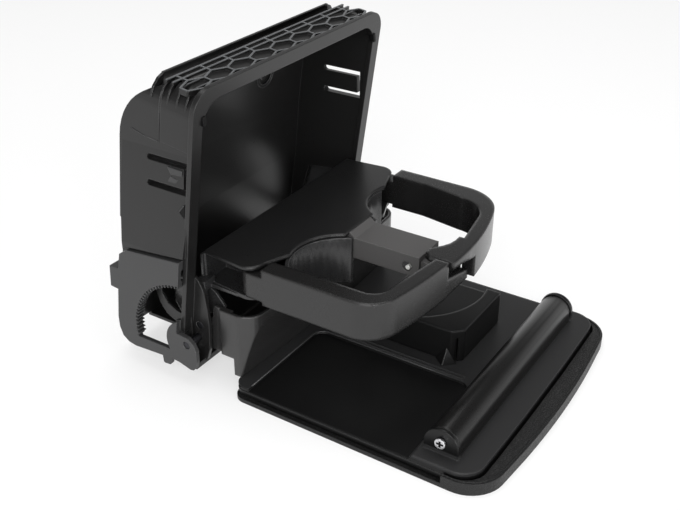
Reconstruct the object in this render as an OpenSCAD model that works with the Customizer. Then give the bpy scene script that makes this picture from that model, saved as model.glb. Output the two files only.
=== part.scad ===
// Fold-out double cup holder for the rear face of a car's centre console, shown open.
// The left-right direction is X, the front is -Y, up is +Z, and the door's underside is Z = 0.

/* [Housing] */
// Width over the rim flange
rim_width = 190; // [170:1:220]
// Height of the rim flange, measured along its slope
rim_height = 156; // [140:1:190]
// Lean of the rim plane; its top edge stands further forward
rim_tilt = 8; // [0:0.5:15]
// Height of the rim's top edge
rim_top = 190; // [170:1:230]
// Depth of the pocket behind the rim
pocket_depth = 56.3; // [50:0.1:80]
// Wall thickness of the housing
wall = 2.2; // [1.6:0.1:3]

/* [Door] */
// Width of the door's inner panel
door_width = 183; // [150:1:200]
// Reach of the inner panel in front of its rear edge
door_reach = 159.5; // [120:0.5:200]
// Height of the door's hinge axis
hinge_height = 30; // [24:0.5:40]
// Height of the round grip bar above the raised front zone
bar_height = 15.5; // [8:0.5:22]
// Height of the rear trough above the panel
trough_height = 43.5; // [20:0.5:44]

/* [Cup shelf] */
// Width over the two arms
shelf_width = 160; // [140:1:164]
// Height of the shelf's top face
shelf_top_z = 85.6; // [80:0.2:90]
// Radius of each cup opening
cup_radius = 31; // [26:0.5:34]
// Height of each arm
arm_height = 23.5; // [16:0.5:26]
// Reach of the arms in front of the rim's foot
arm_reach = 111; // [100:0.5:114]

/* [Gearing] */
// Gear module of the toothed opening and the damper pinion
gear_module = 0.85; // [0.7:0.05:1.2]
// Full-circle tooth count of the toothed opening
ring_teeth = 92; // [80:1:100]
// Tooth count of the damper pinion
pinion_teeth = 10; // [9:1:11]

/* [Hidden] */
$fn = 64;
// Shift that centres the whole part over the origin
mid_y = 52.29;
eps = 0.02;
// Clearance between pieces that run on each other, on the radius
run_gap = 0.08;
// Side play between moving layers
layer_gap = 0.3;
// Gap between pieces that sit close but do not touch
seat_gap = 0.3;
rim_half = rim_width / 2;
rim_thick = 3;
rim_corner = 14;
mouth_half = rim_half - 8;
mouth_top = -8.5;
box_half = rim_half - 5;
box_top = -6;
box_back_radius = 40;
// Level below which the back wall stands further forward, and by how much
back_step = -100;
back_inset = 2;
box_foot = -184.5;
wall_foot = 16.5;
band_proud = 1.5;
band_end = 25.5;
// Hinge axes in the side view
hinge_y = 17.5;
pivot_y = 16;
pivot_z = hinge_height + 8.5;
pin_radius = 2.5;
hub_radius = 5.5;
// Layers from the side wall inwards, each given by its outer face and thickness
plate_face = rim_half + 4;
plate_skin = 3;
plate_depth = plate_face - box_half;
bracket_face = mouth_half + 0.4;
bracket_thick = 2.2;
cheek_face = bracket_face - bracket_thick - layer_gap;
cheek_thick = 1.9;
door_arm_face = cheek_face - cheek_thick - layer_gap;
door_arm_thick = 2.5;
link_face = door_arm_face - door_arm_thick - layer_gap;
link_thick = 1.8;
// Crank that ties the shelf to the door, from each axis
crank_y = 16;
crank_z = 26;
crank_end = 4.5;
crank_pin = 1.8;
door_crank = [hinge_y + crank_y, hinge_height + crank_z];
shelf_crank = [pivot_y + crank_y, pivot_z + crank_z];
// Gear sizes
ring_radius = ring_teeth * gear_module / 2;
pinion_radius = pinion_teeth * gear_module / 2;
mesh_slack = 0.4;
pinion_reach = ring_radius - pinion_radius - mesh_slack;
pinion_angle = 20 * 360 / ring_teeth;
pinion_y = hinge_y + pinion_reach * cos(pinion_angle);
pinion_z = hinge_height + pinion_reach * sin(pinion_angle);
tooth_band = 6;
// Door levels
skin_thick = 2.8;
panel_under = skin_thick + 0.8;
panel_top = 9.2;
front_top = 11.2;
door_half = door_width / 2;
door_rear = -10.5;
door_front = door_rear - door_reach;
skin_half = door_half + 3;
skin_front = door_front - 9.8;
skin_bow = 4;
step_y = -132.6;
bar_y = -145.5;
bar_radius = 10;
bar_half = door_half - 12.5;
lug_thick = 3;
screw_z = front_top + 8;
trough_half = cheek_face - 0.2;
trough_wall = 2.2;
trough_top = panel_top + trough_height;
trough_floor = 21;
trough_jog = 2.8;
// Shelf levels
plate_thick = 2.6;
shelf_half = shelf_width / 2;
shelf_rear = 17;
frame_low = 62.6;
frame_floor = 2.6;
frame_half = shelf_half - 3;
arm_top = shelf_top_z + 1.2;
arm_low = arm_top - arm_height;
arm_side = 11.5;
arm_axis_x = shelf_half - 6.5;
arm_axis_y = -14.5;
cup_x = 43.5;
cup_y = -57.5;
skirt_low = 52;
divider_half = 12.3;
divider_top = shelf_top_z - 3.4;
divider_low = 68.5;
divider_front = -arm_reach + 20.5;
divider_root = -30;
nose_half = 9;
lap_left = -14.6;
lap_right = -13.4;
tongue_end = 12.3;
sleeve_end = 15.5;

// Shared frames

// Places its children in the leaning frame of the rim: X across, Y into the pocket, Z up the slope
module tilted() {
    translate([0, mid_y, rim_top]) rotate([rim_tilt, 0, 0]) children();
}

// Places its children level, with Y and Z as seen from the side
module level() {
    translate([0, mid_y, 0]) children();
}

// Draws an outline given across and up, from y0 to y1
module facing(y0, y1) {
    translate([0, y1, 0]) rotate([90, 0, 0]) linear_extrude(y1 - y0) children();
}

// Draws a side outline, given as depth and height, from x0 to x1
module sideways(x0, x1) {
    translate([x0, 0, 0]) rotate([90, 0, 90]) linear_extrude(x1 - x0) children();
}

// Repeats its children on both sides
module both() {
    children();
    mirror([1, 0, 0]) children();
}

// Corner points along an arc
function arc(x, y, r, a0, a1, n = 12) = [for (i = [0:n]) [x + r * cos(a0 + (a1 - a0) * i / n),
    y + r * sin(a0 + (a1 - a0) * i / n)]];

// Rectangle with round corners
module soft_box(x0, x1, y0, y1, r) {
    translate([x0 + r, y0]) square([x1 - x0 - 2 * r, y1 - y0]);
    translate([x0, y0 + r]) square([x1 - x0, y1 - y0 - 2 * r]);
    for (x = [x0 + r, x1 - r], y = [y0 + r, y1 - r]) translate([x, y]) circle(r);
}

// Housing

// Side outline of the pocket, from the rim back, with its walls moved in by inset
module pocket_outline(inset, foot) {
    r = box_back_radius - inset;
    deep = pocket_depth - inset;
    step = inset > 0 ? back_step - 20 : back_step;
    polygon(concat([[0, foot], [0, box_top - inset]],
        arc(pocket_depth - box_back_radius, box_top - box_back_radius, r, 90, 0),
        [[deep, inset > 0 ? back_step + 20 : back_step], [deep - back_inset, step - back_inset],
            [deep - back_inset, foot]]));
}

// Front outline of the pocket, open at its foot
module pocket_front(half, top, foot) {
    r = rim_corner;
    polygon(concat([[-half, foot]], arc(-half + r, top - r, r, 180, 90), arc(half - r, top - r, r, 90, 0),
        [[half, foot]]));
}

module pocket_solid(half, inset, foot) {
    intersection() {
        sideways(-half, half) pocket_outline(inset, foot);
        facing(0, pocket_depth + 1) pocket_front(half, box_top - inset, foot);
    }
}

module rim() {
    facing(0, rim_thick) difference() {
        pocket_front(rim_half, 0, -rim_height);
        pocket_front(mouth_half, mouth_top, -rim_height - 1);
    }
}

// Raised collar that stiffens the pocket behind the rim
module collar() {
    facing(rim_thick - eps, band_end) difference() {
        pocket_front(box_half + band_proud, box_top + band_proud, -38);
        pocket_front(box_half - 1, box_top - 1, -39);
    }
}

// Cells of the rib field on the pocket's top
cell_pitch = 19.7;
rib_thick = 1.2;
rib_low = box_top - 0.5;
rib_high = -3;
cell_back = 18;
cell_front = 6;
long_ribs = [21.5, 26];
module line(a, b) {
    d = norm(b - a);
    translate(a) rotate(atan2(b[1] - a[1], b[0] - a[0])) translate([0, -rib_thick / 2]) square([d, rib_thick]);
}
module rib_field() {
    mid = (cell_front + cell_back) / 2;
    slope = 3.5;
    translate([0, 0, rib_low]) linear_extrude(rib_high - rib_low) {
        for (i = [-4:4]) {
            x = i * cell_pitch;
            for (s = [-1, 1]) {
                line([x, cell_back], [x + s * cell_pitch / 2, cell_back - slope]);
                line([x, cell_front], [x + s * cell_pitch / 2, cell_front + slope]);
            }
            line([x, cell_back], [x, long_ribs[1]]);
            line([x, rim_thick - 0.5], [x, cell_front]);
        }
        for (i = [-4.5:4.5]) line([i * cell_pitch, cell_front + slope], [i * cell_pitch, cell_back - slope]);
        for (v = long_ribs) line([-4.4 * cell_pitch, v], [4.4 * cell_pitch, v]);
    }
}

// Spring tongue cut in each side wall: two level slots and an upright one
clip_top = 146.3;
clip_slot = 3.6;
clip_tongue = 11.6;
clip_front = 13;
clip_length = 29;
module clip_slots() {
    low = clip_top - 2 * clip_slot - clip_tongue;
    level() both() sideways(box_half - wall - 1, box_half + band_proud + 2) {
        for (z = [clip_top - clip_slot, low]) {
            translate([clip_front, z]) square([clip_length - clip_slot / 2, clip_slot]);
            translate([clip_front + clip_length - clip_slot / 2, z + clip_slot / 2]) circle(clip_slot / 2);
        }
        translate([clip_front, low]) square([2.2, clip_tongue + 2 * clip_slot]);
    }
}

// Low crest across the top, behind the rib field
crest_back = 33.5;
crest_half = box_half - rim_corner + 4;
crest_high = 2.6;

// Screw bosses in the back wall
boss_x = 42.9;
boss_z = -49;
boss_radius = 9;
boss_bore = 3.8;
boss_depth = 1.5;
module back_bosses() {
    both() translate([boss_x, pocket_depth - wall - boss_depth, boss_z]) rotate([-90, 0, 0])
        cylinder(r = boss_radius, h = boss_depth + wall / 2);
}
module back_bores() {
    both() {
        translate([boss_x, pocket_depth - wall - boss_depth - 1, boss_z]) rotate([-90, 0, 0])
            cylinder(r = boss_bore, h = boss_depth + wall + 2);
        translate([boss_x, pocket_depth - wall - boss_depth - 1, boss_z]) rotate([-90, 0, 0])
            cylinder(r = boss_radius - wall, h = boss_depth + 1);
    }
}

// Opening in each side wall that the gear plate covers
side_high = hinge_height + 41;
module side_openings() {
    level() both() sideways(box_half - wall - 1, box_half + 1)
        polygon([[21.8, side_high], [56, side_high - 4], [64, hinge_height + 10], [64, 5], [27, 5],
            [27, hinge_height + 21], [21.8, hinge_height + 28]]);
}

// Each side wall grows wider from shoulder_top down to the gear plate
shoulder_top = 150;
shoulder_out = 7.5;
shoulder_low = 87;
module shoulders() {
    slope = shoulder_out / (shoulder_top - shoulder_low);
    both() intersection() {
        facing(5, 80) polygon([[box_half - 0.6, shoulder_top + 0.6 / slope], [box_half + shoulder_out, shoulder_low],
            [box_half + shoulder_out, shoulder_low - 9], [box_half - 0.6, shoulder_low - 9]]);
        sideways(box_half - 1, plate_face) polygon([[rim_back(160) - 1.5, 160], [60, 160], [63, 120], [63, 81.6],
            [58.8, 83.9], [rim_back(88) - 1.5, 88.6]]);
    }
}

// Inner bracket that carries both hinge axes, and the bar that joins the brackets
bar_low = 12;
bar_high = 15.5;
bar_front = 13.5;
floor_half = 67;
floor_low = 13;
floor_thick = 2.2;
module brackets() {
    bar_end = plate_face - plate_skin - seat_gap;
    both() sideways(bracket_face - bracket_thick, bracket_face)
        polygon(concat([[17, bar_low], [25, bar_low], [30, 20], [30, 46], [26, 54], [21.3, 59], [21.3, 68], [18.4, 73]],
            [[14.5, 70], [12.3, 66], [10.7, 61.8], [9.3, 51.8], [8.6, 41.4], [8.8, 35], [9.2, 30.4], [9.4, 23],
            [12, 15]]));
    translate([-bar_end, bar_front, bar_low]) cube([2 * bar_end, 10.5, bar_high - bar_low]);
    both() sideways(bracket_face - eps, box_half) polygon([[18, bar_low], [25, bar_low], [25, 26], [21.5, 26]]);
    translate([-floor_half, bar_front + 8, floor_low]) cube([2 * floor_half, 56.5, floor_thick]);
    translate([-floor_half, 76.2, floor_low]) cube([2 * floor_half, 2.2, 8]);
}

module housing_shell() {
    color([0.13, 0.13, 0.14]) difference() {
        union() {
            difference() {
                tilted() difference() {
                    pocket_solid(box_half, 0, box_foot);
                    translate([0, -1, 0]) pocket_solid(box_half - wall, wall, box_foot - 1);
                    facing(-2, rim_thick + 1) pocket_front(mouth_half, mouth_top, box_foot - 2);
                }
                translate([-rim_width, 0, wall_foot - 40]) cube([2 * rim_width, 300, 40]);
            }
            tilted() {
                rim();
                collar();
                rib_field();
                back_bosses();
                translate([-crest_half, crest_back, box_top - 5.2]) cube([2 * crest_half, 1.6, crest_high + 5.2]);
            }
            level() {
                brackets();
                shoulders();
            }
        }
        tilted() back_bores();
        clip_slots();
        side_openings();
        level() both() pin_bores();
    }
}

// Bores for the two hinge axes in the brackets
module pin_bores() {
    for (p = [[hinge_y, hinge_height], [pivot_y, pivot_z]])
        translate([bracket_face - bracket_thick - 1, p[0], p[1]]) rotate([0, 90, 0])
            cylinder(r = pin_radius + run_gap, h = bracket_thick + 2);
}

// Gear plates

// The plate's outline in the side view: it follows the rim's rear face and swells into the hinge ear
function rim_back(z) = (rim_top - z) * tan(rim_tilt) + (rim_thick + seat_gap) / cos(rim_tilt);
module plate_outline() {
    polygon([[rim_back(86.5), 86.5], [58.6, 82.6], [65, 78.3], [67.4, 67.4], [74.5, 67.4], [75.5, 52.8],
        [69.6, 52.2], [72.4, 31.6], [72.2, 24], [70, 18], [65.6, 14.8], [60, 13.8], [37.8, 15.2], [37.4, 10.6],
        [36.4, 10], [32, 10.4], [31.3, 11.4], [30.6, 15.6], [24.7, 15.2], [18.6, 13.6], [16, 12.8], [13.4, 13.2],
        [11.4, 15.4], [10.5, 20], [10.3, 27.5], [12.2, 31.8], [16.5, 35.2], [rim_back(36), 36]]);
}

// The opening with the ring of teeth along its upper and rear edge
module tooth(r_root, r_tip, half_root, half_tip) {
    polygon([[r_root, -half_root], [r_tip, -half_tip], [r_tip, half_tip], [r_root, half_root]]);
}
ear_disc = 15.5;
opening_low = 22.4;
module opening_outline(r) {
    difference() {
        intersection() {
            translate([hinge_y, hinge_height]) circle(r);
            polygon([[5, 90], [90, 90], [90, opening_low], [5, opening_low]]);
        }
        translate([hinge_y, hinge_height]) circle(ear_disc);
    }
}
module ring_teeth_outline() {
    half_root = gear_module * 0.62;
    half_tip = gear_module * 0.3;
    intersection() {
        translate([hinge_y, hinge_height]) for (i = [-2:22]) rotate(i * 360 / ring_teeth)
            tooth(ring_radius + gear_module * 1.5, ring_radius - gear_module, half_root, half_tip);
        opening_outline(ring_radius + gear_module * 1.6);
        plate_outline();
    }
}

module gear_plate() {
    ring_root = ring_radius + gear_module * 1.2;
    sideways(plate_face - plate_skin, plate_face) difference() {
        plate_outline();
        opening_outline(ring_root);
        translate([hinge_y, hinge_height]) circle(pin_radius + run_gap);
    }
    sideways(plate_face - tooth_band, plate_face) ring_teeth_outline();
    sideways(plate_face - tooth_band, plate_face - plate_skin + eps) difference() {
        intersection() {
            opening_outline(ring_root + 2.4);
            plate_outline();
        }
        opening_outline(ring_root);
    }
    sideways(box_half, plate_face - plate_skin + eps) difference() {
        plate_outline();
        translate([hinge_y, hinge_height]) circle(ring_radius + 7);
        polygon([[10, 5], [60, 5], [60, 60], [20, 80], [10, 80]]);
        polygon([[rim_back(82) + 2.4, 83.5], [57.5, 80], [62.5, 76], [64.5, 50], [68, 31], [67, 27],
            [64, 20.4], [10, 20.4]]);
    }
}

module left_gear_plate() {
    color([0.15, 0.15, 0.16]) level() mirror([1, 0, 0]) gear_plate();
}

module right_gear_plate() {
    color([0.15, 0.15, 0.16]) level() gear_plate();
}

// Hinge pins
module door_hinge_pins() {
    low = door_arm_face - door_arm_thick;
    color([0.45, 0.45, 0.47]) level() both() translate([low, hinge_y, hinge_height]) rotate([0, 90, 0])
        cylinder(r = pin_radius, h = plate_face - low - 0.5);
}

module shelf_pivot_pins() {
    low = cheek_face - cheek_thick;
    color([0.45, 0.45, 0.47]) level() both() translate([low, pivot_y, pivot_z]) rotate([0, 90, 0])
        cylinder(r = pin_radius, h = bracket_face - low);
}

// Door

rear_corner = 8;
module panel_outline(half, rear, front, r, bow) {
    q = rear_corner;
    polygon(concat(arc(-half + q, rear - q, q, 90, 180, 8), arc(-half + r, front + r, r, 180, 264, 10),
        [for (i = [-5:5]) [i * (half - r) / 6, front - bow * (1 - pow(i / 6, 2))]],
        arc(half - r, front + r, r, 276, 360, 10), arc(half - q, rear - q, q, 0, 90, 8)));
}

tray_left = -door_half - 1;
tray_right = -15.5;
tray_rear = -22;
tray_front = -131;
tray_depth = 1.7;
panel_recess = 1.6;
module door_inner_panel() {
    color([0.14, 0.14, 0.15]) level() {
        difference() {
            union() {
                translate([0, 0, panel_under]) linear_extrude(panel_top - panel_under)
                    panel_outline(door_half, door_rear, door_front, 14, 1);
                intersection() {
                    translate([0, 0, panel_under]) linear_extrude(front_top - panel_under)
                        panel_outline(door_half, door_rear, door_front, 14, 1);
                    translate([-100, door_front - 10, 0]) cube([200, step_y - door_front + 10, 40]);
                }
                both() bar_lug();
            }
            translate([0, 0, panel_top - tray_depth]) linear_extrude(5)
                soft_box(tray_left - 10, tray_right, tray_front, tray_rear, 7);
            translate([0, 0, panel_under - 1]) linear_extrude(panel_recess + 1)
                panel_outline(door_half - 2.5, door_rear - 3, door_front + 2.5, 12, 1);
            both() translate([bar_half - 1, bar_y, screw_z]) rotate([0, 90, 0])
                cylinder(r = 1.7, h = lug_thick + 3);
        }
        ridge();
    }
}

// Double ridge beside the tray
module ridge() {
    for (x = [tray_right + 1, tray_right + 4]) translate([x, tray_front + 6, panel_top - eps])
        cube([1.2, tray_rear - tray_front - 14, 1]);
}

// Upright lug at each end of the grip bar
module bar_lug() {
    sideways(bar_half + seat_gap, bar_half + seat_gap + lug_thick) bar_outline(bar_radius + 0.6, panel_top);
}
module bar_outline(r, low) {
    z = front_top + bar_height - bar_radius;
    intersection() {
        translate([bar_y, z]) circle(r);
        translate([bar_y - r, low]) square([2 * r, 2 * r + z]);
    }
    translate([bar_y - r, low]) square([2 * r, z - low]);
}

module grip_bar() {
    color([0.16, 0.16, 0.17]) level() difference() {
        sideways(-bar_half, bar_half) bar_outline(bar_radius, front_top + eps);
        both() translate([bar_half - 10, bar_y, screw_z]) rotate([0, 90, 0]) cylinder(r = 1.4, h = 11);
    }
}

module bar_screws() {
    color([0.75, 0.75, 0.77]) level() both() translate([bar_half - 9, bar_y, screw_z]) rotate([0, 90, 0]) {
        cylinder(r = 1.3, h = 9 + lug_thick + 2 * seat_gap);
        translate([0, 0, 9 + lug_thick + 2 * seat_gap]) difference() {
            cylinder(r = 3.3, h = 1.8);
            translate([-0.5, -2, 1]) cube([1, 4, 2]);
            translate([-2, -0.5, 1]) cube([4, 1, 2]);
        }
    }
}

skin_corner = 22;
skin_post_x = 68;
lip_top = 8;
module door_outer_skin() {
    color([0.1, 0.1, 0.105]) level() difference() {
        union() {
            linear_extrude(skin_thick) panel_outline(skin_half, door_rear - 1, skin_front, skin_corner, skin_bow);
            intersection() {
                linear_extrude(lip_top) difference() {
                    panel_outline(skin_half, door_rear - 1, skin_front, skin_corner, skin_bow);
                    panel_outline(door_half + 0.6, 0, door_front - 1.6, 14, 1);
                }
                translate([-110, skin_front - 10, 0]) cube([220, door_front - skin_front + 28, 30]);
            }
            for (x = [-1, 0, 1], y = [-35, -80, -125]) translate([x * skin_post_x, y, skin_thick - eps])
                cylinder(r = 3, h = panel_under + panel_recess - skin_thick + eps);
        }
        translate([-110, door_rear - 3, 0]) rotate([-40, 0, 0]) translate([0, 0, -10]) cube([220, 20, 10]);
    }
}

// Rear trough with the arms that reach back to the hinge; its front wall leans forward
trough_front = -21.8;
trough_corner = 13;
trough_bow = 3;
trough_lean = 14;
module trough_outline(inset, rear, half = trough_half, corner = trough_corner) {
    h = half - inset;
    f = trough_front + inset;
    r = corner - inset;
    polygon(concat([[-h, rear]], arc(-h + r, f + r, r, 180, 266, 8),
        [for (i = [-3:3]) [i * (h - r) / 4, f - trough_bow * (1 - pow(i / 4, 2))]],
        arc(h - r, f + r, r, 274, 360, 8), [[h, rear]]));
}
module trough_block(inset, low) {
    intersection() {
        translate([0, 0, low]) linear_extrude(trough_top - low) trough_outline(inset, trough_jog);
        translate([0, 0, trough_top]) rotate([trough_lean, 0, 0]) translate([0, 0, -90]) linear_extrude(120)
            trough_outline(inset, 90, trough_half + 8, 5);
    }
}
module door_trough() {
    floor_thick = 2;
    color([0.14, 0.14, 0.15]) level() {
        difference() {
            trough_block(0, panel_top);
            difference() {
                translate([0, 0, 1]) trough_block(trough_wall, trough_floor);
                translate([-100, -100, 0]) cube([200, 200, trough_floor + floor_thick]);
            }
            translate([-trough_half - 1, -6.5, 0]) cube([2 * trough_half + 2, 20, trough_floor]);
            translate([-trough_half + trough_wall, trough_jog - 9, trough_floor + floor_thick])
                cube([2 * trough_half - 2 * trough_wall, 15, 60]);
        }
        translate([-door_arm_face, -3, trough_floor]) cube([2 * door_arm_face, 10, floor_thick]);
        translate([-door_arm_face, 6, trough_floor]) cube([2 * door_arm_face, 2, 12]);
        both() {
            sideways(door_arm_face - door_arm_thick, door_arm_face) door_arm_outline();
            sideways(door_arm_face - 1, trough_half) polygon([[trough_jog - 3, trough_floor],
                [trough_jog, trough_floor], [trough_jog, trough_top], [trough_jog - 3, trough_top]]);
        }
        mirror([1, 0, 0]) sideways(door_arm_face - door_arm_thick, door_arm_face) door_crank_outline();
        sideways(door_arm_face - door_arm_thick, door_arm_face) damper_carrier_outline();
    }
}
module door_arm_outline() {
    difference() {
        union() {
            translate([hinge_y, hinge_height]) circle(9);
            polygon([[-5, trough_floor], [hinge_y, 21], [hinge_y + 4, 38], [9, 44], [8, trough_top],
                [-5, trough_top]]);
        }
        translate([hinge_y, hinge_height]) circle(pin_radius + run_gap);
    }
}

// Curved crank on the left door arm
module door_crank_outline() {
    difference() {
        union() {
            polygon([[hinge_y, hinge_height - 8], [hinge_y + 12, hinge_height + 1], [door_crank[0] + 5, 46],
                [door_crank[0] + crank_end, door_crank[1]], [door_crank[0] - crank_end, door_crank[1]],
                [door_crank[0] - 4, 48], [hinge_y + 6, hinge_height + 8]]);
            translate(door_crank) circle(crank_end);
        }
        translate([hinge_y, hinge_height]) circle(pin_radius + run_gap);
        translate(door_crank) circle(crank_pin + run_gap);
    }
}

// Carrier for the damper on the right door arm
module damper_carrier_outline() {
    difference() {
        union() {
            polygon([[hinge_y - 3, hinge_height - 6], [hinge_y + 8.5, hinge_height], [pinion_y + 5, pinion_z],
                [pinion_y - 5, pinion_z], [hinge_y - 7, hinge_height + 4]]);
            translate([pinion_y, pinion_z]) circle(damper_radius + 0.5);
        }
        translate([hinge_y, hinge_height]) circle(pin_radius + run_gap);
        translate([pinion_y, pinion_z]) circle(neck_radius + run_gap);
    }
}

// Wedge-shaped rest under the right cup opening
rest_x0 = -2;
rest_x1 = 55;
rest_front = -116;
rest_rear = -52;
rest_top = 32;
rest_dish = 50;
module cup_rest() {
    color([0.14, 0.14, 0.15]) level() difference() {
        translate([0, 0, panel_top]) linear_extrude(rest_top - panel_top)
            polygon([[rest_x0, rest_rear], [rest_x0, rest_front + 6], [rest_x0 + 6, rest_front],
                [rest_x1, rest_front], [rest_x1, rest_rear]]);
        translate([rest_x0 + 2.5, rest_front + 3, panel_top - 1]) cube([rest_x1 - rest_x0 - 5, 58, 18]);
        translate([cup_x, cup_y, rest_top - 3]) cylinder(r = rest_dish, h = 10);
    }
}

// Damper on the right arm: its body inside, its pinion in the toothed opening
damper_radius = 5;
damper_depth = 5.5;
neck_radius = 3.2;
shaft_radius = 1.5;
module damper_body() {
    low = door_arm_face - door_arm_thick;
    color([0.2, 0.2, 0.21]) level() translate([low, pinion_y, pinion_z]) rotate([0, 90, 0]) {
        translate([0, 0, -damper_depth]) cylinder(r = damper_radius, h = damper_depth);
        cylinder(r = neck_radius, h = door_arm_thick);
        cylinder(r = shaft_radius, h = plate_face - low - 0.8);
    }
}

module damper_pinion() {
    half_root = gear_module * 0.95;
    half_tip = gear_module * 0.28;
    color([0.75, 0.74, 0.7]) level() difference() {
        sideways(rim_half + seat_gap, plate_face - 0.8) translate([pinion_y, pinion_z])
            rotate(pinion_angle) {
                circle(pinion_radius - gear_module * 1.2);
                for (i = [0:pinion_teeth - 1]) rotate((i + 0.5) * 360 / pinion_teeth)
                    tooth(pinion_radius - gear_module * 1.6, pinion_radius + gear_module * 0.8, half_root, half_tip);
            }
        translate([plate_face - 10, pinion_y, pinion_z]) rotate([0, 90, 0]) cylinder(r = shaft_radius + run_gap, h = 20);
    }
}

// Cup shelf

// Outline of the shelf's plate, cut by the two cup openings
module shelf_outline(half, front) {
    difference() {
        polygon(concat([[-half + 3, shelf_rear]], arc(-half + 10, front + 12, 10, 180, 270, 8),
            [[-divider_half - 6, front - 18], [divider_half + 6, front - 18]],
            arc(half - 10, front + 12, 10, 270, 360, 8), [[half - 3, shelf_rear]]));
        both() translate([cup_x, cup_y]) circle(cup_radius);
    }
}

module shelf_plate() {
    color([0.17, 0.17, 0.18]) level() translate([0, 0, shelf_top_z - plate_thick]) linear_extrude(plate_thick)
        shelf_outline(shelf_half + 0.8, -24);
}

module cup_skirt(reach) {
    translate([cup_x, cup_y, skirt_low]) difference() {
        cylinder(r = cup_radius + 2.2, h = shelf_top_z - plate_thick - skirt_low);
        translate([0, 0, -1]) cylinder(r = cup_radius, h = 60);
        translate([-60, -60, -1]) cube([120, 72, 60]);
        translate([reach, -10, -1]) cube([60, 60, 60]);
        translate([-51, -10, -1]) cube([20, 60, 60]);
    }
}

module shelf_frame() {
    top = shelf_top_z - plate_thick;
    color([0.15, 0.15, 0.16]) level() difference() {
        union() {
            translate([0, 0, frame_low]) linear_extrude(frame_floor) shelf_outline(frame_half + 2, -24);
            translate([-frame_half, shelf_rear - 0.5, frame_low]) cube([2 * frame_half, 2.5, top - frame_low]);
            mirror([1, 0, 0]) cup_skirt(22);
            cup_skirt(8);
            both() {
                side_post();
                translate([frame_half - 20, -6, frame_low]) cube([2, shelf_rear + 6, top - frame_low]);
                translate([25, -20, frame_low]) cube([2, shelf_rear + 20, top - frame_low]);
                cheek();
            }
            mirror([1, 0, 0]) sideways(cheek_face - cheek_thick, cheek_face) shelf_crank_outline();
        }
        translate([-cheek_face - 1, shelf_crank[0], shelf_crank[1]]) rotate([0, 90, 0])
            cylinder(r = crank_pin + run_gap, h = cheek_thick + 2);
        both() {
            translate([arm_axis_x, arm_axis_y, frame_low - 1]) cylinder(r = pin_radius - 0.6, h = 10);
            translate([cheek_face - 5, pivot_y, pivot_z]) rotate([0, 90, 0])
                cylinder(r = pin_radius + run_gap, h = 20);
        }
    }
}

// Rear post of the side window
module side_post() {
    top = shelf_top_z - plate_thick;
    sideways(frame_half, frame_half + 2) polygon([[shelf_rear + 0.4, top], [shelf_rear + 2, top],
        [shelf_rear + 2, frame_low + 3.4], [shelf_rear - 1.4, frame_low], [-8, frame_low], [-8, frame_low + 2],
        [shelf_rear - 2.2, frame_low + 2.2], [shelf_rear + 0.2, frame_low + 4.4]]);
}

// Cheek that carries the shelf's pivot, and the blade inside the trough
module cheek() {
    sideways(cheek_face - cheek_thick, cheek_face) {
        translate([pivot_y, pivot_z]) circle(hub_radius);
        polygon([[pivot_y - hub_radius, pivot_z], [pivot_y + hub_radius, pivot_z], [pivot_y + 3, frame_low + 6],
            [pivot_y - 4, frame_low + 6]]);
    }
    sideways(frame_half - 2, cheek_face) polygon([[pivot_y - 4, frame_low], [pivot_y + 3, frame_low],
        [pivot_y + 3, frame_low + 6], [pivot_y - 4, frame_low + 6]]);
    sideways(frame_half, frame_half + 2) translate([shelf_rear, frame_low]) polygon([[1.6, 1], [-1.8, 0.6],
        [-6.1, -1.8], [-8.3, -3.2], [-11.1, -6.4], [-12.5, -8], [-14.6, -11.4], [-13.6, -13.2], [-8, -17],
        [-1, -19.6], [0, -14]]);
}

// Crank on the left cheek
module shelf_crank_outline() {
    polygon([[pivot_y + 4, pivot_z + 2], [pivot_y + 14, pivot_z + 13],
        [shelf_crank[0] + crank_end, shelf_crank[1]], [shelf_crank[0] - crank_end, shelf_crank[1]],
        [pivot_y + 5, pivot_z + 14], [pivot_y, pivot_z + 5]]);
    translate(shelf_crank) circle(crank_end);
}

module cup_divider() {
    color([0.15, 0.15, 0.16]) level() difference() {
        union() {
            translate([-divider_half, divider_front, divider_low])
                cube([2 * divider_half, -42 - divider_front, divider_top - divider_low]);
            translate([-nose_half, divider_front - 6.7, divider_low - 1.5])
                cube([2 * nose_half, 8.7, divider_top - divider_low - 2.5]);
            sideways(-divider_half + 0.3, divider_half - 0.3) polygon([[-46.5, divider_low], [divider_root, divider_low],
                [divider_root, shelf_top_z - plate_thick - eps], [-42 - eps, shelf_top_z - plate_thick - eps],
                [-42 - eps, shelf_top_z - 0.6], [-43, shelf_top_z - 0.6], [-46.5, divider_top]]);
        }
        translate([-divider_half + wall, divider_front + 3, divider_low - 1])
            cube([2 * divider_half - 2 * wall, -50 - divider_front, divider_top - divider_low - 1.4]);
        translate([-20, -82.6, 74.2]) rotate([0, 90, 0]) cylinder(r = 3.2, h = 40);
    }
}

module arm_pins() {
    low = frame_low + 0.6;
    color([0.45, 0.45, 0.47]) level() both() translate([arm_axis_x, arm_axis_y, low]) {
        cylinder(r = pin_radius - 0.6, h = frame_floor);
        translate([0, 0, frame_floor - 0.6 + seat_gap]) cylinder(r = pin_radius, h = shelf_top_z - plate_thick - low - 3);
    }
}

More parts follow.
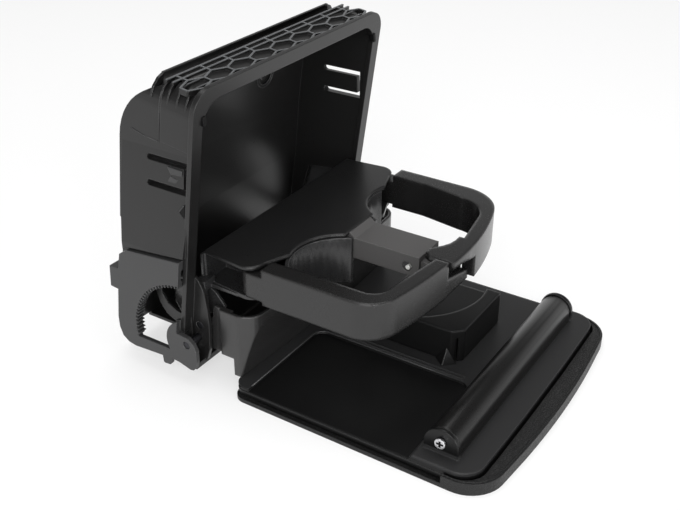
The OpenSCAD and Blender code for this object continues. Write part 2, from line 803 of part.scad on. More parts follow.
// Arm outline for the right-hand side: a side bar, a round corner and a bowed front bar up to x_end.
// The front lies at tip in the middle and falls back with bow; the inner corner circle has radius in_r
function front_line(x, tip, bow) = tip + bow * x * x;
module arm_outline(x_end, tip, bow, corner, in_x, in_y, in_r) {
    turn = shelf_half - corner;
    fold = 90 - atan(2 * bow * (turn + corner * 0.25));
    start = turn + corner * cos(fold);
    mid_corner = front_line(start, tip, bow) + corner * sin(fold);
    polygon(concat([[shelf_half, -26]], arc(turn, mid_corner, corner, 0, -fold, 16),
        [for (i = [1:8]) let (x = start + (x_end - start) * i / 8) [x, front_line(x, tip, bow)]],
        [[x_end, tip + 9]], arc(in_x, in_y, in_r, -84, 0, 14), [[shelf_half - arm_side, -50]],
        [[shelf_half - arm_side, -26]]));
}
left_tip = -arm_reach - 0.5;
right_tip = -arm_reach - 3.2;
module left_arm_outline() {
    mirror([1, 0, 0]) arm_outline(-lap_left, left_tip, 0.0016, 20.5, shelf_half - 22.5, left_tip + 25.3, 10.5);
}
module right_arm_outline(x_end) {
    arm_outline(x_end, right_tip, 0.0027, 31, shelf_half - 38, right_tip + 35.6, 22);
}

module arm_root() {
    difference() {
        translate([-shelf_half, -26 - eps, frame_low + frame_floor + seat_gap])
            cube([arm_side, 26 + arm_axis_y, divider_top - 0.6 - frame_low - frame_floor - seat_gap]);
        translate([-arm_axis_x, arm_axis_y, 0]) cylinder(r = pin_radius + run_gap, h = 100);
    }
    difference() {
        translate([-arm_axis_x, arm_axis_y, frame_low + frame_floor + seat_gap])
            cylinder(r = 5.5, h = divider_top - 0.6 - frame_low - frame_floor - seat_gap);
        translate([-arm_axis_x, arm_axis_y, 0]) cylinder(r = pin_radius + run_gap, h = 100);
    }
}

// Hollow under each side bar
module arm_hollow() {
    translate([shelf_half - arm_side + 2.5, left_tip + 32, arm_low - 1])
        cube([arm_side - 5, -28 - left_tip - 32, 12]);
}

// Lap between the arms: a low tongue on the left one, a cover and a web on the right one
tongue_front = left_tip + 0.7;
tongue_rear = left_tip + 6;
web_front = left_tip + 7.4;
web_rear = left_tip + 10;
cover_rear = left_tip + 17.7;
module left_cup_arm() {
    color([0.17, 0.17, 0.18]) level() {
        difference() {
            translate([0, 0, arm_low]) linear_extrude(arm_height) left_arm_outline();
            mirror([1, 0, 0]) arm_hollow();
        }
        facing(tongue_front, tongue_rear) polygon([[lap_left - 1, arm_low], [tongue_end, arm_low],
            [tongue_end, arm_low + 5.7], [lap_right, arm_low + 11.9], [lap_left - 1, arm_low + 12.2]]);
        arm_root();
    }
}

module right_cup_arm() {
    color([0.17, 0.17, 0.18]) level() {
        difference() {
            translate([0, 0, arm_low]) linear_extrude(arm_height) right_arm_outline(sleeve_end);
            arm_hollow();
        }
        intersection() {
            translate([0, 0, arm_low]) linear_extrude(arm_height) polygon(concat([[sleeve_end + 1, web_rear - 0.4]],
                [for (i = [0:6]) let (x = sleeve_end + 1 - (sleeve_end + 1 - lap_right) * i / 6)
                    [x, front_line(x, right_tip, 0.0027)]], [[lap_right, cover_rear - 11], [lap_right + 0.9, cover_rear - 3],
                [lap_right + 2.7, cover_rear], [-5.6, cover_rear + 0.3], [-2.5, cover_rear - 2], [1, cover_rear - 4.8],
                [6, cover_rear - 7.2], [11, web_rear - 0.4]]));
            union() {
                facing(right_tip - 5, cover_rear + 5) polygon([[lap_right - 1, arm_top + 1], [sleeve_end + 1, arm_top + 1],
                    [sleeve_end + 1, arm_low + 14], [-2, arm_low + 18.3], [lap_right - 1, arm_low + 19.4]]);
                facing(web_front, web_rear) square([60, arm_top + 1], center = false);
                mirror([1, 0, 0]) facing(web_front, web_rear) square([-lap_right, arm_top + 1]);
            }
        }
        mirror([1, 0, 0]) arm_root();
    }
}

// Link that ties the two cranks together on the left
module fold_link() {
    color([0.2, 0.2, 0.21]) level() mirror([1, 0, 0]) sideways(link_face - link_thick, link_face) difference() {
        union() {
            translate(door_crank) circle(crank_end - 0.3);
            translate(shelf_crank) circle(crank_end - 0.3);
            polygon([[door_crank[0] - crank_end + 0.3, door_crank[1]], [door_crank[0] + crank_end - 0.3, door_crank[1]],
                [shelf_crank[0] + crank_end - 0.3, shelf_crank[1]], [shelf_crank[0] - crank_end + 0.3, shelf_crank[1]]]);
        }
        translate(door_crank) circle(crank_pin + run_gap);
        translate(shelf_crank) circle(crank_pin + run_gap);
    }
}

module link_pins() {
    color([0.45, 0.45, 0.47]) level() mirror([1, 0, 0]) {
        translate([link_face - link_thick, door_crank[0], door_crank[1]]) rotate([0, 90, 0])
            cylinder(r = crank_pin, h = door_arm_face - link_face + link_thick);
        translate([link_face - link_thick, shelf_crank[0], shelf_crank[1]]) rotate([0, 90, 0])
            cylinder(r = crank_pin, h = cheek_face - link_face + link_thick);
    }
}

housing_shell();
left_gear_plate();
right_gear_plate();
door_hinge_pins();
shelf_pivot_pins();
door_inner_panel();
door_outer_skin();
door_trough();
cup_rest();
grip_bar();
bar_screws();
damper_body();
damper_pinion();
shelf_plate();
shelf_frame();
cup_divider();
arm_pins();
left_cup_arm();
right_cup_arm();
fold_link();
link_pins();
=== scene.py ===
"""Looks of a fold-out car cup holder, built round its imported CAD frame."""

import math

import bmesh
import bpy
from mathutils import Matrix, Vector
from mathutils.geometry import convex_hull_2d


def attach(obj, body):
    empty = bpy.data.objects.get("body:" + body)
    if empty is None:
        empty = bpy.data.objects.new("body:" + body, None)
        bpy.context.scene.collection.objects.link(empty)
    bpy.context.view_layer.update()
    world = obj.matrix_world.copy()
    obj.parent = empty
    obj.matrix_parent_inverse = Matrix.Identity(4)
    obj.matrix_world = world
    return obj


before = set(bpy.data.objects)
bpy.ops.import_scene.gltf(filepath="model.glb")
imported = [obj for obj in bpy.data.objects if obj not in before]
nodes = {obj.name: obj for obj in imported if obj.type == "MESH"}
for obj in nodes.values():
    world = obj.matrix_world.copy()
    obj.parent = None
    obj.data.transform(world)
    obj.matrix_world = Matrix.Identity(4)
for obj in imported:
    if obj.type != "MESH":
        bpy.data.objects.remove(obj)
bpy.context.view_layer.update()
scene = bpy.context.scene

MM = 0.001
MID = 52.29  # how far the part is shifted towards +Y, in mm
TILT = math.radians(8)  # lean of the housing
RIM_TOP = 190.0  # height of the leaning rim's top, in mm
HANDS = ((-1, "left"), (1, "right"))

# Camera, solved from the photograph's edges
SENSOR = 36.0
FOCAL_PIXELS = 983.595
IMAGE_WIDTH = 680
RIGHT = Vector((0.541616, -0.840623, 0.002202))
DOWN = Vector((-0.416683, -0.270743, -0.867798))
FORWARD = Vector((0.730087, 0.469096, -0.496912))
EYE = Vector((-0.4553, -0.3203 + MID * MM, 0.3688))

cam_data = bpy.data.cameras.new("camera")
cam_data.sensor_width = SENSOR
cam_data.lens = FOCAL_PIXELS / IMAGE_WIDTH * SENSOR
cam_data.clip_start = 0.01
cam_data.clip_end = 20
camera = bpy.data.objects.new("camera", cam_data)
scene.collection.objects.link(camera)
turned = Matrix((RIGHT, -DOWN, -FORWARD)).transposed()
camera.matrix_world = Matrix.Translation(EYE) @ turned.to_4x4()
scene.camera = camera


# Node trees
class Graph:
    """The node tree of a material or a world, and short calls to add nodes to it."""

    def __init__(self, owner):
        owner.use_nodes = True
        self.tree = owner.node_tree

    def feed(self, value, socket):
        """Link another node's output to a socket, or set the socket to a number or a tuple."""
        if isinstance(value, bpy.types.NodeSocket):
            self.tree.links.new(value, socket)
        elif socket.type == "RGBA":
            socket.default_value = (*value, 1)
        else:
            socket.default_value = value

    def add(self, kind, inputs=None, **settings):
        """A new node with its settings, and its inputs by name or by number."""
        node = self.tree.nodes.new(kind)
        for key, value in settings.items():
            setattr(node, key, value)
        for key, value in (inputs or {}).items():
            self.feed(value, node.inputs[key])
        return node

    def calc(self, operation, a, b, **settings):
        node = self.add("ShaderNodeMath", {0: a, 1: b}, operation=operation, **settings)
        return node.outputs[0]

    def dot(self, a, b):
        node = self.add("ShaderNodeVectorMath", {0: a, 1: b}, operation="DOT_PRODUCT")
        return node.outputs["Value"]

    def remap(self, value, lo, hi, from_lo=0.0, from_hi=1.0, **settings):
        """Take a value from one span to another, and no further than the new span's ends."""
        spans = {"From Min": from_lo, "From Max": from_hi, "To Min": lo, "To Max": hi}
        return self.add("ShaderNodeMapRange", {"Value": value, **spans}, **settings).outputs[0]

    def look_rays(self):
        """1 for rays that show the background: seen straight, mirrored or through glass."""
        rays = self.add("ShaderNodeLightPath").outputs
        seen = self.calc("ADD", rays["Is Camera Ray"], rays["Is Glossy Ray"], use_clamp=True)
        return self.calc("ADD", seen, rays["Is Transmission Ray"], use_clamp=True)


class Shader(Graph):
    """A new material with a Principled surface."""

    def __init__(self, name):
        self.name = name  # the material's own name can get a number behind it
        self.material = bpy.data.materials.new(name)
        super().__init__(self.material)
        self.tree.nodes.clear()
        self.surface = self.add("ShaderNodeBsdfPrincipled")
        self.add("ShaderNodeOutputMaterial", {0: self.surface.outputs[0]})
        self.coord = self.add("ShaderNodeTexCoord").outputs["Object"]

    def paint(self, **inputs):
        """Set the surface's inputs; an underscore stands for a space in their names."""
        for key, value in inputs.items():
            self.feed(value, self.surface.inputs[key.replace("_", " ")])

    def overlay(self, share, colour):
        """Lay a colour over the surface's present one."""
        present = self.surface.inputs["Base Color"].links[0].from_socket
        self.paint(Base_Color=self.blend(share, present, colour))

    def noise(self, scale, detail=3, coord=None):
        inputs = {"Scale": scale, "Detail": detail, "Vector": coord or self.coord}
        return self.add("ShaderNodeTexNoise", inputs).outputs["Fac"]

    def blend(self, share, a, b, mode="MIX"):
        inputs = {"Factor": share, "A": a, "B": b}
        mix = self.add("ShaderNodeMix", inputs, data_type="RGBA", blend_type=mode)
        return mix.outputs["Result"]

    def bump(self, height, strength, distance, normal=None):
        inputs = {"Strength": strength, "Distance": distance, "Height": height}
        if normal is not None:
            inputs["Normal"] = normal
        return self.add("ShaderNodeBump", inputs).outputs[0]

    def rolled(self, radius, samples):
        """Normals that roll over the edges, with a radius in mm."""
        return self.add("ShaderNodeBevel", {"Radius": radius * MM}, samples=samples).outputs[0]

    def edges(self, radius):
        """How far the rolled normal turns: 0 on a flat, up to 1 on a sharp edge."""
        flat = self.add("ShaderNodeNewGeometry").outputs["Normal"]
        return self.remap(self.dot(self.rolled(radius, 4), flat), 1.0, 0.0, 0.86, 0.995)


# Materials
RUB_AND_SHEEN_EDGE = 0.5  # radius over which an edge is painted light, partly as rubbed wear and partly as painted highlight, in mm
GRAIN_SCALE = 1400  # spark-eroded grain
CELL_SCALE = 620  # leather cells
RIB_DEPTH = 3.1  # from the rim's top down to just under the rib field's tops, in mm
RIB_FRONT = 4.0  # how far behind the rim's front the rib field starts, in mm
RIB_HIGHLIGHT_SHARE = 0.8  # share of the painted highlight colour on the rib tops
# colour of the painted highlight on the rib tops
RIB_HIGHLIGHT_COLOUR = (0.11, 0.115, 0.12)


def plastic(name, colour, rough, grain=0.1, mottle=0.1, rub_and_sheen=0.5, level=0.4, turn=0.8):
    """Moulded black plastic: colour drift, fine grain, faint flow marks, and edges painted light,
    partly as rubbed wear and partly as painted highlight.

    turn is the radius in mm over which light rolls round the edges."""
    s = Shader(name)
    drift = s.remap(s.noise(11, 4), 1 - mottle, 1 + mottle)
    base = s.blend(1.0, colour, drift, "MULTIPLY")
    worn_and_sheen = tuple(min(1.0, c * 3.2 + 0.012) for c in colour)
    # edges painted lighter: partly rubbed wear, partly painted highlight
    s.paint(Base_Color=s.blend(s.calc("MULTIPLY", s.edges(RUB_AND_SHEEN_EDGE), rub_and_sheen), base, worn_and_sheen))
    fine = s.noise(GRAIN_SCALE, 2)
    cloud = s.remap(s.noise(26, 3), -0.05, 0.05)
    s.paint(Roughness=s.calc("ADD", s.remap(fine, rough - 0.05, rough + 0.07), cloud))
    s.paint(Specular_IOR_Level=level)
    flow = s.bump(s.noise(60, 2), 0.05, 0.0006, s.rolled(turn, 6))
    s.paint(Normal=s.bump(fine, grain, 0.00012, flow))
    return s


def housing_plastic(name, colour, rough):
    """Moulded plastic of the housing: the tops of the rib field carry a painted highlight."""
    s = plastic(name, colour, rough, level=0.45)
    sine, cosine = math.sin(TILT), math.cos(TILT)
    place = s.add("ShaderNodeNewGeometry").outputs["Position"]
    up = s.dot(place, (0, -sine, cosine))
    back = s.dot(place, (0, cosine, sine))
    low = (RIM_TOP * cosine - MID * sine - RIB_DEPTH) * MM
    start = (RIM_TOP * sine + MID * cosine + RIB_FRONT) * MM
    high = s.remap(up, 0.0, 1.0, low - 0.0003, low)
    behind = s.remap(back, 0.0, 1.0, start - 0.0005, start)
    # painted highlight on the rib field's tops
    s.overlay(s.calc("MULTIPLY", s.calc("MULTIPLY", high, behind), RIB_HIGHLIGHT_SHARE), RIB_HIGHLIGHT_COLOUR)
    return s


def panel_plastic(name, colour, top, low, high):
    """Door panel: its raised faces, between two heights of its object, are painted lighter, a
    painted sheen for the light they catch.
    """
    s = plastic(name, colour, 0.33, level=0.3, turn=1.2)
    height = s.add("ShaderNodeSeparateXYZ", {0: s.coord}).outputs["Z"]
    over = s.remap(height, 0.0, 1.0, low - 0.0003, low)
    under = s.remap(height, 1.0, 0.0, high, high + 0.0005)
    # painted sheen on the raised faces
    s.overlay(s.calc("MULTIPLY", over, under), top)
    return s


def leather_grain(name, colour, rough):
    """Moulded leather grain of rounded cells with creases between them."""
    s = Shader(name)
    warp = s.add("ShaderNodeVectorMath", {0: s.noise(90, 2), 1: (0.004, 0.004, 0.004), 2: s.coord},
                 operation="MULTIPLY_ADD").outputs[0]
    cells = s.add("ShaderNodeTexVoronoi", {"Scale": CELL_SCALE, "Vector": warp},
                  feature="DISTANCE_TO_EDGE").outputs["Distance"]
    height = s.remap(cells, 0.0, 1.0, 0.0, 0.22)
    # the creases between cells are painted darker: painted shade
    s.paint(Base_Color=s.blend(1.0, colour, s.remap(height, 0.72, 1.12), "MULTIPLY"),
            Roughness=s.remap(height, rough + 0.12, rough),
            Specular_IOR_Level=0.4,
            Normal=s.bump(height, 0.55, 0.00025))
    return s


def steel(name, colour, rough):
    """Turned or drawn steel with fine streaks along X."""
    s = Shader(name)
    stretched = s.add("ShaderNodeMapping", {"Scale": (1, 60, 60), "Vector": s.coord}).outputs[0]
    streak = s.noise(40, 4, stretched)
    s.paint(Base_Color=s.blend(1.0, colour, s.remap(streak, 0.8, 1.15), "MULTIPLY"),
            Roughness=s.remap(streak, rough - 0.08, rough + 0.12),
            Metallic=1.0,
            Normal=s.bump(streak, 0.08, 0.0001))
    return s


def tone(value, warm=0.0):
    """A grey that leans a little to blue, or to red with warm."""
    return (value * (1 + warm), value, value * (1.02 - warm))


panel_shift = nodes["door_inner_panel"].matrix_world.translation.z
panel_low = 0.0091 - panel_shift
panel_high = 0.0135 - panel_shift
LOOKS = (
    housing_plastic("housing_plastic", tone(0.0095, 0.02), 0.30),
    # lighter plastic for beads and pieces that stand in for highlights along the housing's edges:
    # painted highlight
    plastic("housing_edge_highlight", tone(0.030), 0.34),
    # lighter plastic for the tray bead: painted highlight
    plastic("door_edge_highlight", tone(0.030), 0.30),
    # pale disc for the light seen through the divider's hole: painted light
    plastic("hole_light", (0.75, 0.75, 0.72), 0.4, rub_and_sheen=0.0),
    # near-black plastic put where recesses fall in shade: painted shade
    plastic("recess_shade", tone(0.003), 0.5, rub_and_sheen=0.0, level=0.15),
    plastic("plate_plastic", tone(0.034), 0.38),
    plastic("door_plastic", tone(0.0055), 0.33, level=0.3, turn=1.2),
    # the second tone is painted sheen on the panel's raised faces
    panel_plastic("panel_plastic", tone(0.004), tone(0.021), panel_low, panel_high),
    plastic("rest_plastic", tone(0.006), 0.30, level=0.3, turn=2.4),
    # the trough's tone is lifted over the door's plastic to stand in for the light on its walls:
    # painted sheen
    plastic("trough_plastic", tone(0.020, 0.02), 0.22, level=0.6, turn=1.8),
    plastic("divider_plastic", tone(0.068, 0.03), 0.42, turn=1.2),
    steel("hinge_steel", (0.05, 0.05, 0.055), 0.42),
    leather_grain("grained_skin", tone(0.005), 0.40),
    plastic("bar_plastic", tone(0.006, 0.03), 0.29, level=0.36),
    plastic("shelf_plastic", tone(0.010), 0.30, level=0.45, turn=1.8),
    plastic("frame_plastic", tone(0.018), 0.28, grain=0.0, level=0.6, mottle=0.05),
    plastic("arm_plastic", tone(0.011, 0.02), 0.24, level=0.55, turn=2.6),
    plastic("damper_plastic", tone(0.03), 0.45),
    plastic("gear_nylon", (0.62, 0.60, 0.54), 0.4, rub_and_sheen=0.1),
    steel("pin_steel", (0.42, 0.42, 0.44), 0.35),
    steel("screw_steel", (0.70, 0.70, 0.72), 0.28),
    steel("link_steel", (0.30, 0.30, 0.32), 0.4),
)
MATERIALS = {look.name: look.material for look in LOOKS}
SLOTS = {
    "housing_shell": "housing_plastic",
    "left_gear_plate": "plate_plastic", "right_gear_plate": "plate_plastic",
    "door_hinge_pins": "hinge_steel", "shelf_pivot_pins": "hinge_steel",
    "arm_pins": "pin_steel", "link_pins": "pin_steel", "bar_screws": "screw_steel",
    "door_inner_panel": "panel_plastic", "door_outer_skin": "grained_skin",
    "door_trough": "trough_plastic", "cup_rest": "rest_plastic", "grip_bar": "bar_plastic",
    "damper_body": "damper_plastic", "damper_pinion": "gear_nylon",
    "shelf_plate": "shelf_plastic", "shelf_frame": "frame_plastic",
    "cup_divider": "divider_plastic", "left_cup_arm": "arm_plastic",
    "right_cup_arm": "arm_plastic", "fold_link": "link_steel",
}
for name, o in nodes.items():
    o.data.materials.clear()
    o.data.materials.append(MATERIALS[SLOTS[name]])


# Rounded edges on the carried CAD nodes, in mm
ROUND = {
    "left_cup_arm": 2.0, "right_cup_arm": 2.0, "shelf_plate": 1.0, "door_trough": 0.6,
    "grip_bar": 0.8, "door_inner_panel": 0.5, "door_outer_skin": 0.7, "cup_rest": 1.6,
    "cup_divider": 0.5,
}
ROUND_REST = 0.35


def soften(o, width, segments=2):
    """Round a piece's edges by a width in mm."""
    w = o.modifiers.new("weld", "WELD")
    w.merge_threshold = 1e-6
    d = o.modifiers.new("planar", "DECIMATE")
    d.decimate_type = "DISSOLVE"
    d.angle_limit = math.radians(1.0)
    b = o.modifiers.new("bevel", "BEVEL")
    b.width = width * MM
    b.segments = segments
    b.limit_method = "ANGLE"
    b.angle_limit = math.radians(32)
    b.use_clamp_overlap = True
    b.harden_normals = True


for name, o in nodes.items():
    soften(o, ROUND.get(name, ROUND_REST), 3 if name in ROUND else 2)


# Detail pieces: outlines and measures are in mm
def plan(a, b, h):
    """A point of an outline seen from above (x, y), raised along Z."""
    return Vector((a, b + MID, h)) * MM


def side(a, b, h):
    """A point of an outline seen from the side (y, z), raised along X."""
    return Vector((h, a + MID, b)) * MM


def lean_front(a, b, h):
    """A point of an outline on the leaning housing, seen from its front and moved backwards.

    a is x, and b the height over the rim's top."""
    y = h * math.cos(TILT) - b * math.sin(TILT)
    z = RIM_TOP + h * math.sin(TILT) + b * math.cos(TILT)
    return Vector((a, y + MID, z)) * MM


def trace(place, outline, h):
    return [place(a, b, h) for a, b in outline]


def mirror(outline, s):
    return [(s * a, b) for a, b in outline]


def circle(cx, cy, radius, count=40):
    turns = [2 * math.pi * i / count for i in range(count)]
    return [(cx + radius * math.cos(t), cy + radius * math.sin(t)) for t in turns]


def world_points(o):
    return [o.matrix_world @ v.co for v in o.data.vertices]


def finish_piece(name, bm, material, owner, soft):
    """Make a bmesh an object that rides on its owner, with edges rounded by soft."""
    bmesh.ops.remove_doubles(bm, verts=bm.verts, dist=1e-7)
    bmesh.ops.recalc_face_normals(bm, faces=bm.faces)
    mesh = bpy.data.meshes.new(name)
    bm.to_mesh(mesh)
    bm.free()
    o = bpy.data.objects.new(name, mesh)
    scene.collection.objects.link(o)
    mesh.materials.append(MATERIALS[material])
    if soft:
        soften(o, soft)
    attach(o, owner)
    return mesh


def prism(name, outline, low, high, place, material, owner, soft=0.25):
    """A straight block with the outline's section, from low to high."""
    bm = bmesh.new()
    foot, top = ([bm.verts.new(p) for p in trace(place, outline, h)] for h in (low, high))
    bm.faces.new(foot)
    bm.faces.new(top)
    for i in range(len(outline)):
        j = (i + 1) % len(outline)
        bm.faces.new((foot[i], foot[j], top[j], top[i]))
    finish_piece(name, bm, material, owner, soft)


BEAD_SIDES = 8
OFF_AXIS = Vector((0.31, 0.17, 0.93))  # a direction that no bead runs along


def bead(name, path, radius, material, owner, closed=False):
    """A round moulded bead along a path of points in metres."""
    bm = bmesh.new()
    rings = []
    count = len(path)
    turns = [2 * math.pi * k / BEAD_SIDES for k in range(BEAD_SIDES)]
    for i, p in enumerate(path):
        before = path[i - 1] if i or closed else p
        after = path[(i + 1) % count] if i < count - 1 or closed else p
        along = (after - before).normalized()
        across = along.cross(OFF_AXIS).normalized()
        up = across.cross(along)
        rings.append([bm.verts.new(p + radius * MM * (math.cos(t) * across + math.sin(t) * up))
                      for t in turns])
    for i in range(count if closed else count - 1):
        a, b = rings[i], rings[(i + 1) % count]
        for k in range(BEAD_SIDES):
            m = (k + 1) % BEAD_SIDES
            bm.faces.new((a[k], a[m], b[m], b[k]))
    if not closed:
        bm.faces.new(rings[0])
        bm.faces.new(rings[-1])
    for f in finish_piece(name, bm, material, owner, 0).polygons:
        f.use_smooth = len(f.vertices) == 4


# Housing, seen from the side
WALL_X = 90.0  # outer faces of the side walls
COLLAR_STEP = [(27.0, 184.9), (28.6, 181), (29.9, 175.6), (32.4, 154.8)]
COLLAR_FOOT = [(32.4, 154.8), (43.7, 156.1), (52, 158.8)]
HOOK_UPPER = [(26.5, 142.4), (15.6, 142.0), (15.6, 138.4), (24.2, 137.9)]
HOOK_LOWER = [(24.5, 137.0), (19.0, 135.6), (21.6, 131.8), (28.0, 131.6)]
GUSSET = [(17.9, 117.6), (13.2, 123.2), (14.1, 114.1)]
GUSSET_EDGE = [(13.8, 122.8), (17.9, 117.6), (14.4, 114.3)]
RIM_LUG = [(1.5, 175.2), (5.6, 173.4), (4.6, 169.8), (0.9, 169.3)]
RIM_LUG_FROM, RIM_LUG_TO = 88.0, 85.4  # on the inside of a side wall
OPENING_STRIP = [(50.5, 72), (49.6, 60), (48.2, 52.2), (45.8, 45.1), (40.9, 38.8), (34.7, 35.9),
                 (22.5, 34.5), (22.5, 42.0), (33.1, 43.7), (40.0, 47.1), (43.4, 52.4), (45.0, 60),
                 (45.6, 72)]
OPENING_WEB = [(20.5, 44), (27, 40), (33.2, 37.2), (34.4, 29.4), (26, 28.4), (20.5, 28)]

# Housing, seen from its front: the right half
CREST_RAMP = [(79.5, -3.5), (84, -5.4), (87.6, -9.4), (89.8, -15), (86, -15), (79.5, -9)]
CREST_RAMP_DEPTHS = (33.5, 35.1)
FIN = [(72, -3.2), (82, -3.2), (86.2, -4.0), (88.6, -6.6), (90.2, -10.2), (91.0, -15),
       (91.4, -21), (89.6, -21), (88.4, -16), (85, -11), (80, -8), (72, -7.4)]
FIN_DEPTHS = (8.4, 14.6, 20.9, 25.4)
FIN_THICK = 1.2
BOSS_FACE = 52.6  # the screw bosses' front faces, in the pocket
BOSS_X, BOSS_HEIGHT = 42.9, -49
BOSS_RINGS = (8.9, 6.9)

for s, hand in HANDS:
    x = s * WALL_X
    # collar beads, clip hooks, gusset edge and boss rings in this lighter plastic are painted
    # highlights along the edges
    bead(hand + "_collar_step", trace(side, COLLAR_STEP, x), 0.4, "housing_edge_highlight", "housing")
    bead(hand + "_collar_foot", trace(side, COLLAR_FOOT, x), 0.35, "housing_edge_highlight", "housing")
    prism(hand + "_clip_hook_upper", HOOK_UPPER, x - s * 0.6, x + s * 2.2, side,
          "housing_edge_highlight", "housing", 0.5)
    prism(hand + "_clip_hook_lower", HOOK_LOWER, x - s * 0.6, x + s * 2.0, side,
          "housing_edge_highlight", "housing", 0.4)
    # the wall gusset and the rim lug are near-black: painted shade
    prism(hand + "_wall_gusset", GUSSET, x + s, x + s * 4.7, side,
          "recess_shade", "housing", 0.1)
    bead(hand + "_gusset_edge", trace(side, GUSSET_EDGE, x + s * 4.6), 0.35,
         "housing_edge_highlight", "housing")
    prism(hand + "_rim_lug", RIM_LUG, s * RIM_LUG_FROM, s * RIM_LUG_TO, side,
          "recess_shade", "housing", 0.4)
    prism(hand + "_crest_ramp", mirror(CREST_RAMP, s), *CREST_RAMP_DEPTHS, lean_front,
          "housing_plastic", "housing")
    for i, depth in enumerate(FIN_DEPTHS):
        prism(f"{hand}_corner_fin_{i + 1}", mirror(FIN, s), depth, depth + FIN_THICK, lean_front,
              "housing_plastic", "housing")
    for i, radius in enumerate(BOSS_RINGS):
        ring = circle(s * BOSS_X, BOSS_HEIGHT, radius)
        bead(f"{hand}_boss_ring_{i + 1}", trace(lean_front, ring, BOSS_FACE), 0.35,
             "housing_edge_highlight", "housing", True)
prism("left_opening_strip", OPENING_STRIP, -88.3, -86.5, side, "housing_plastic", "housing", 0.3)
prism("left_opening_web", OPENING_WEB, -89.6, -88.2, side, "housing_plastic", "housing", 0.3)

# Pale disc in the divider's hole: painted light, standing for the white background seen through it
prism("divider_hole_light", circle(-83.0, 73.4, 1.5, 20), -12.1, -9.4, side, "hole_light", "cup_shelf", 0.2)

# Door: tray bead, a lighter bead that paints a highlight along the tray's edge, and the gusset
# beside the rest, seen from above
PANEL_TOP = 9.2
TRAY = [(-88, -22), (-22.5, -22), (-19.8, -22.5), (-17.6, -24.1), (-16.0, -26.3), (-15.5, -29),
        (-15.5, -80), (-15.5, -124)]
REST_GUSSET = [(-1.6, -99), (-8.6, -107.5), (-1.6, -114.6)]
REST_GUSSET_TIP = (-1.6, -107.2, 19.5)
bead("tray_highlight_bead", trace(plan, TRAY, PANEL_TOP), 0.5, "door_edge_highlight", "door")
pyramid = bmesh.new()
base = [pyramid.verts.new(p) for p in trace(plan, REST_GUSSET, PANEL_TOP - 0.3)]
tip = pyramid.verts.new(plan(*REST_GUSSET_TIP))
pyramid.faces.new(base)
for i in range(3):
    pyramid.faces.new((base[i], base[(i + 1) % 3], tip))
finish_piece("rest_gusset", pyramid, "door_plastic", "door", 0.3)

# Door: cross recesses of the grip bar's screws, as dark inlays of painted shade
W, R = 0.45, 1.9  # half the width and the reach of a cross's arms
CROSS = [(W, W), (W, R), (-W, R), (-W, W), (-R, W), (-R, -W),
         (-W, -W), (-W, -R), (W, -R), (W, -W), (R, -W), (R, W)]
screws = world_points(nodes["bar_screws"])
for s, hand in HANDS:
    own = [p for p in screws if p.x * s > 0]
    face = max(p.x * s for p in own) / MM
    cy = (max(p.y for p in own) + min(p.y for p in own)) / 2 / MM - MID
    cz = (max(p.z for p in own) + min(p.z for p in own)) / 2 / MM
    prism(hand + "_screw_cross", [(cy + a, cz + b) for a, b in CROSS], s * (face - 0.4),
          s * (face + 0.06), side, "recess_shade", "door", 0)


# Door: bead round the skin's upper edge
def outer_line(points, inset):
    """The outline of points seen from above, moved inwards, in mm."""
    flat = [p.xy for p in points]
    ring = [flat[i] for i in convex_hull_2d(flat)]
    ring = [p for i, p in enumerate(ring) if (p - ring[i - 1]).length > 1e-5]
    line = []
    for i, p in enumerate(ring):
        before = (p - ring[i - 1]).normalized()
        after = (ring[(i + 1) % len(ring)] - p).normalized()
        inward = Vector((-(before + after).y, (before + after).x)).normalized()
        line.append((p + inward * inset * MM) / MM)
    return line


skin = world_points(nodes["door_outer_skin"])
skin_top = max(p.z for p in skin) / MM
bead("skin_edge_bead", [Vector((p.x, p.y, skin_top)) * MM for p in outer_line(skin, 1.5)], 0.45,
     "grained_skin", "door", True)

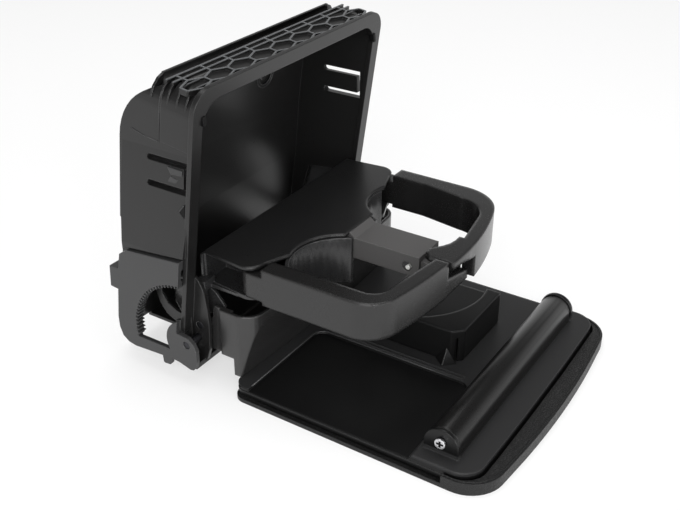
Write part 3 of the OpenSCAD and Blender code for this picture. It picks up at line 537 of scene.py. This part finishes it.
# Floor: for rays that show it FLOOR_GLOW of its look is plain white, and the rest keeps the shadow
FLOOR_GLOW = 0.6
bpy.ops.mesh.primitive_plane_add(size=12, location=(0, 0, 0))
floor = bpy.context.object
floor.name = "floor"
white = bpy.data.materials.new("floor_white")
g = Graph(white)
g.tree.nodes.clear()
share = g.calc("MULTIPLY", g.look_rays(), FLOOR_GLOW)
diffuse = g.add("ShaderNodeBsdfDiffuse", {"Color": (0.92, 0.92, 0.92)}).outputs[0]
glow = g.add("ShaderNodeEmission", {"Strength": 1.0}).outputs[0]
mixed = g.add("ShaderNodeMixShader", {0: share, 1: diffuse, 2: glow}).outputs[0]
g.add("ShaderNodeOutputMaterial", {0: mixed})
floor.data.materials.append(white)

# World: for rays that show it, white up to CEILING_LOW and darker towards CEILING_HIGH; for the
# rest an even fill
CEILING_LOW = 0.12
CEILING_HIGH = 0.6
CEILING_TONE = 0.12
FILL = 0.6
world = bpy.data.worlds.new("studio")
scene.world = world
g = Graph(world)
direction = g.add("ShaderNodeTexCoord").outputs["Generated"]
height = g.add("ShaderNodeSeparateXYZ", {0: direction}).outputs["Z"]
backdrop = g.remap(height, 1.0, CEILING_TONE, CEILING_LOW, CEILING_HIGH,
                   interpolation_type="SMOOTHSTEP")
strength = g.add("ShaderNodeMix", {"Factor": g.look_rays(), "A": FILL, "B": backdrop},
                 data_type="FLOAT").outputs["Result"]
background = g.tree.nodes["Background"]
g.feed((1, 1, 1), background.inputs["Color"])
g.feed(strength, background.inputs["Strength"])


def lamp(name, place, target, size, power):
    d = bpy.data.lights.new(name, "AREA")
    d.shape = "RECTANGLE"
    d.size, d.size_y = size
    d.energy = power
    o = bpy.data.objects.new(name, d)
    scene.collection.objects.link(o)
    o.location = place
    o.rotation_euler = (Vector(target) - Vector(place)).to_track_quat("-Z", "Y").to_euler()


lamp("key", (-1.2, -0.5, 0.75), (0, 0, 0.08), (0.7, 0.9), 11)
lamp("top", (0.1, 0.1, 1.3), (0, 0, 0.05), (0.9, 0.9), 7)
lamp("front", (-0.25, -1.4, 0.5), (0, 0, 0.08), (0.5, 0.7), 4)
lamp("strip", (-1.0, -1.1, 0.12), (-0.05, -0.05, 0.06), (0.14, 0.7), 7)
scene.view_settings.view_transform = "Standard"
